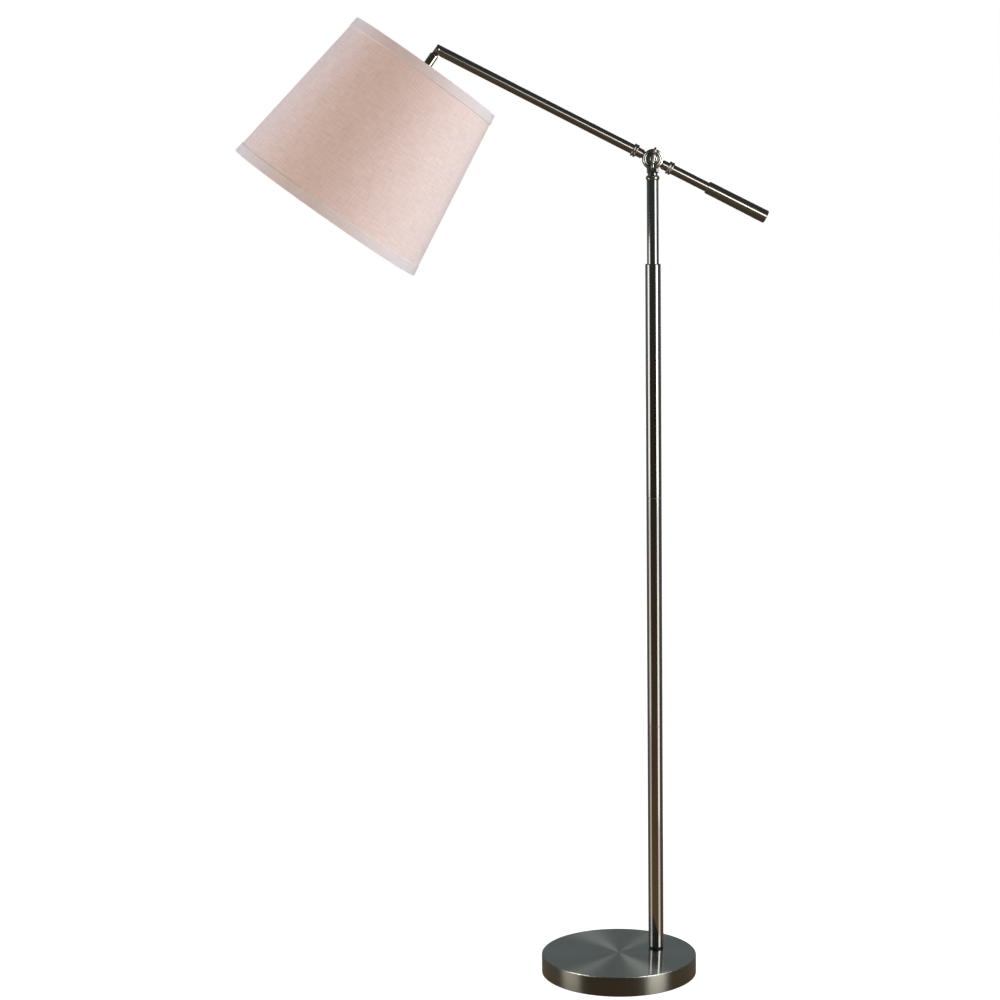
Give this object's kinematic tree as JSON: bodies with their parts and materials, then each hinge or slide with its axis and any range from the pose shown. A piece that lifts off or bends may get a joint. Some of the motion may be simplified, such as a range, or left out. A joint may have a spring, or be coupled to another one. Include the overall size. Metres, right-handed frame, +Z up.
{
  "type": "pharmacy floor lamp",
  "caption": "Floor lamp with a heavy round base, an offset telescoping pole and a counterweighted boom whose knuckle locks with a wing key, carrying a tilting linen drum shade.",
  "frame": {"origin": "centre of the round base's flat underside, on the floor", "axes": "+Z up along the pole, -X towards the tip of the boom and the shade, -Y towards the viewer"},
  "size_m": [0.8473, 0.3449, 1.5535],
  "materials": {
    "plated_tube": "dark antique nickel plate, bright polish",
    "base_plate": "dark antique nickel plate, spun brush marks",
    "weight_iron": "rough casting",
    "felt": "pressed felt",
    "plain_steel": "zinc plate",
    "moulded_plastic": "moulded",
    "plated_knuckle": "dark antique nickel plate, turned and polished",
    "fitter_wire": "white enamel",
    "shade_lining": "stiff white film",
    "shade_linen": "plain linen weave",
    "shade_band": "folded linen band",
    "holder_metal": "dark antique nickel plate",
    "holder_block": "moulded phenolic",
    "holder_brass": "bright",
    "bulb_metal": "rolled thread cap",
    "bulb_opal": "opal white"
  },
  "bodies": {
    "stand": {"base_cover": "base_plate", "base_weight": "weight_iron", "base_pad": "felt", "base_nipple": "plain_steel", "base_washer": "plain_steel", "base_nut": "plain_steel", "cord_bushing": "moulded_plastic", "pole_foot_insert": "plain_steel", "pole_lower": "plated_tube", "pole_joiner_lower": "plain_steel", "pole_middle": "plated_tube", "pole_joiner_upper": "plain_steel", "pole_upper": "plated_tube"},
    "swivel": {"swivel_bush": "moulded_plastic"},
    "mast": {"mast_tube": "plated_tube", "grip_sleeve": "moulded_plastic", "knuckle_fork": "plated_knuckle", "pivot_bolt": "plated_knuckle", "friction_washers": "moulded_plastic", "key_washer": "plain_steel"},
    "key": {"wing_key": "plated_knuckle"},
    "boom": {"boom_hub": "plated_knuckle", "boom_front_tube": "plated_tube", "boom_tip_plug": "plated_knuckle", "hinge_pin": "plated_knuckle", "boom_rear_tube": "plated_tube", "counterweight": "plated_knuckle"},
    "head": {"head_stem": "plated_knuckle", "head_nipple": "plain_steel", "shade_fitter": "fitter_wire", "lock_nut": "plain_steel", "shade_bottom_ring": "fitter_wire", "shade_liner": "shade_lining", "shade_cover": "shade_linen", "shade_top_trim": "shade_band", "shade_bottom_trim": "shade_band", "holder_cap": "holder_metal", "holder_shell": "holder_metal", "switch_block": "holder_block", "insulating_sleeve": "moulded_plastic", "screw_shell": "holder_brass", "centre_contact": "holder_brass", "bulb_cap": "bulb_metal", "bulb_glass": "bulb_opal"},
    "switch": {"switch_knob": "holder_block"}
  },
  "joints": [
    {"name": "mast_swivel", "type": "hinge", "parent": "stand", "child": "swivel", "pos_m": [0.06328, 0.02595, 1.16], "axis": [0, 0, 1], "range_deg": [-170, 170]},
    {"name": "mast_slide", "type": "slide", "parent": "swivel", "child": "mast", "axis": [0, 0, 1], "range_m": [-0.13, 0.12]},
    {"name": "boom_tilt", "type": "hinge", "parent": "mast", "child": "boom", "pos_m": [0.06328, 0.02595, 1.3267], "axis": [0, 1, 0], "range_deg": [-47.4, 10.6]},
    {"name": "head_tilt", "type": "hinge", "parent": "boom", "child": "head", "pos_m": [-0.27533, 0.02595, 1.50222], "axis": [0, 1, 0], "range_deg": [-14, 45]},
    {"name": "key_turn", "type": "hinge", "parent": "mast", "child": "key", "pos_m": [0.06328, 0.02595, 1.3267], "axis": [0, -1, 0], "range_deg": [0, 180]},
    {"name": "switch_turn", "type": "hinge", "parent": "head", "child": "switch", "pos_m": [-0.31755, 0.02595, 1.4439], "axis": [0.81, 0, -0.5864], "continuous": true}
  ]
}
